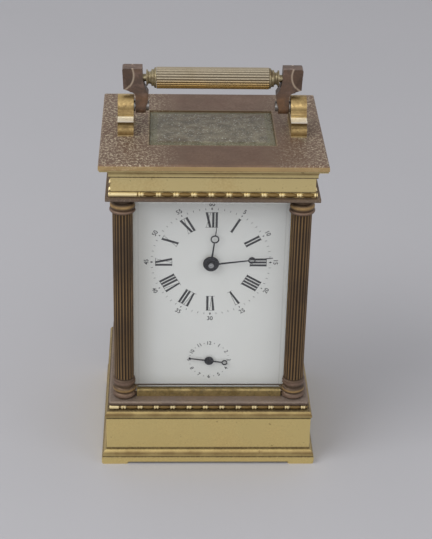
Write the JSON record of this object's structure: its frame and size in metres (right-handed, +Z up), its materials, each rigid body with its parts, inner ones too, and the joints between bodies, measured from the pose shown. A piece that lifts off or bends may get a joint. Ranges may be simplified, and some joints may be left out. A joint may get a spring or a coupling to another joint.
{
  "type": "officers clock",
  "caption": "Brass column carriage clock with bevelled glasses, white roman dial, alarm dial, rear door and folding reeded handle.",
  "frame": {"origin": "middle of the footprint, on the plane that the feet stand on", "axes": "+Z up, -Y is the dial side, +X to the right seen from the dial"},
  "size_m": [0.0972, 0.0802, 0.1782],
  "materials": {
    "frieze_brass": "satin, lightly lacquered",
    "umber_brass": "aged, patinated",
    "column_bronze": "dark patina with bright edges",
    "bright_brass": "polished",
    "grip_brass": "worn pale brass",
    "clear_glass": "bevelled",
    "dial_white": "semi-matt white",
    "hand_black": "black",
    "movement_brass": "grained",
    "steel": "polished"
  },
  "bodies": {
    "case": {"alarm_bell": "bright_brass", "architrave": "umber_brass", "back_plate": "movement_brass", "balance_cock": "movement_brass", "base_bead_strip": "frieze_brass", "base_floor": "umber_brass", "base_moulding": "frieze_brass", "base_seat": "umber_brass", "bell_post": "steel", "column_front_left": "column_bronze", "column_front_right": "column_bronze", "column_rear_left": "column_bronze", "column_rear_right": "column_bronze", "column_screws": "steel", "corner_feet": "frieze_brass", "cornice_bead_strip": "frieze_brass", "cornice_frieze": "frieze_brass", "dial": "dial_white", "front_glass": "clear_glass", "front_plate": "movement_brass", "glass_rails": "frieze_brass", "handle_pivot_screws": "steel", "handle_supports": "bright_brass", "left_glass": "clear_glass", "movement_pillars": "movement_brass", "movement_seat": "movement_brass", "platform": "movement_brass", "right_glass": "clear_glass", "roof_glass": "clear_glass", "roof_plate": "umber_brass"},
    "handle": {"handle_arm_left": "umber_brass", "handle_arm_right": "umber_brass", "handle_grip": "grip_brass", "handle_spools": "bright_brass", "handle_rod": "steel"},
    "rear_door": {"rear_door_frame": "bright_brass", "rear_door_glass": "clear_glass", "door_hinge_pins": "steel", "door_knob": "bright_brass"},
    "minute_work": {"centre_arbor": "steel", "cannon_pinion": "steel", "minute_hand": "hand_black"},
    "hour_work": {"hour_wheel": "movement_brass", "hour_hand": "hand_black"},
    "minute_wheel_body": {"minute_wheel": "movement_brass"},
    "alarm_setting": {"alarm_arbor": "steel", "alarm_hand": "hand_black"},
    "going_barrel_body": {"going_barrel": "movement_brass"},
    "winding_arbor_body": {"winding_arbor": "steel"},
    "second_wheel_body": {"second_wheel": "movement_brass"},
    "centre_wheel_body": {"centre_wheel": "movement_brass"},
    "third_wheel_body": {"third_wheel": "movement_brass"},
    "contrate_wheel_body": {"contrate_wheel": "movement_brass"},
    "alarm_barrel_body": {"alarm_barrel": "movement_brass"},
    "alarm_winding_arbor_body": {"alarm_winding_arbor": "steel"},
    "alarm_hammer_body": {"alarm_hammer": "steel"},
    "balance_wheel_body": {"balance_wheel": "movement_brass"}
  },
  "joints": [
    {"name": "handle_fold", "type": "hinge", "parent": "case", "child": "handle", "pos_m": [0, 0, 0.1604], "axis": [1, 0, 0], "range_deg": [-88, 88]},
    {"name": "rear_door_swing", "type": "hinge", "parent": "case", "child": "rear_door", "pos_m": [-0.0309, 0.0302, 0.032], "axis": [0, 0, 1], "range_deg": [0, 100]},
    {"name": "minute_hand_turn", "type": "hinge", "parent": "case", "child": "minute_work", "pos_m": [0, 0, 0.0973], "axis": [0, 1, 0], "continuous": true},
    {"name": "hour_hand_turn", "type": "hinge", "parent": "case", "child": "hour_work", "pos_m": [0, 0, 0.0973], "axis": [0, 1, 0], "continuous": true},
    {"name": "minute_wheel_turn", "type": "hinge", "parent": "case", "child": "minute_wheel_body", "pos_m": [0.0072, 0, 0.0973], "axis": [0, 1, 0], "continuous": true},
    {"name": "alarm_hand_turn", "type": "hinge", "parent": "case", "child": "alarm_setting", "pos_m": [0, 0, 0.0471], "axis": [0, 1, 0], "continuous": true},
    {"name": "contrate_wheel_turn", "type": "hinge", "parent": "case", "child": "contrate_wheel_body", "pos_m": [0.00354, 0, 0.10971], "axis": [0, 1, 0], "continuous": true},
    {"name": "third_wheel_turn", "type": "hinge", "parent": "case", "child": "third_wheel_body", "pos_m": [0.01148, 0, 0.10331], "axis": [0, 1, 0], "continuous": true},
    {"name": "centre_wheel_turn", "type": "hinge", "parent": "case", "child": "centre_wheel_body", "pos_m": [0, 0, 0.0973], "axis": [0, 1, 0], "continuous": true},
    {"name": "second_wheel_turn", "type": "hinge", "parent": "case", "child": "second_wheel_body", "pos_m": [-0.0122, 0, 0.0911], "axis": [0, 1, 0], "continuous": true},
    {"name": "going_barrel_turn", "type": "hinge", "parent": "case", "child": "going_barrel_body", "pos_m": [-0.012, 0, 0.07136], "axis": [0, 1, 0], "continuous": true},
    {"name": "winding", "type": "hinge", "parent": "case", "child": "winding_arbor_body", "pos_m": [-0.012, 0, 0.07136], "axis": [0, 1, 0], "range_deg": [0, 2160]},
    {"name": "alarm_barrel_turn", "type": "hinge", "parent": "case", "child": "alarm_barrel_body", "pos_m": [0.016, 0, 0.068], "axis": [0, 1, 0], "continuous": true},
    {"name": "alarm_winding", "type": "hinge", "parent": "case", "child": "alarm_winding_arbor_body", "pos_m": [0.016, 0, 0.068], "axis": [0, 1, 0], "range_deg": [0, 1440]},
    {"name": "hammer_swing", "type": "hinge", "parent": "case", "child": "alarm_hammer_body", "pos_m": [0.018, 0, 0.05], "axis": [0, 1, 0], "range_deg": [-8, 2.4]},
    {"name": "balance_swing", "type": "hinge", "parent": "case", "child": "balance_wheel_body", "pos_m": [-0.004, -0.004, 0.1242], "axis": [0, 0, 1], "range_deg": [-270, 270], "stiffness_Nm_per_rad": 0.00001}
  ],
  "couplings": [
    {"joint": "hour_hand_turn", "follows": "minute_hand_turn", "ratio": 0.083333},
    {"joint": "minute_wheel_turn", "follows": "minute_hand_turn", "ratio": -0.33333},
    {"joint": "third_wheel_turn", "follows": "contrate_wheel_turn", "ratio": -0.13333},
    {"joint": "centre_wheel_turn", "follows": "contrate_wheel_turn", "ratio": 0.016667},
    {"joint": "second_wheel_turn", "follows": "contrate_wheel_turn", "ratio": -0.003125},
    {"joint": "going_barrel_turn", "follows": "contrate_wheel_turn", "ratio": 0.00054688}
  ]
}
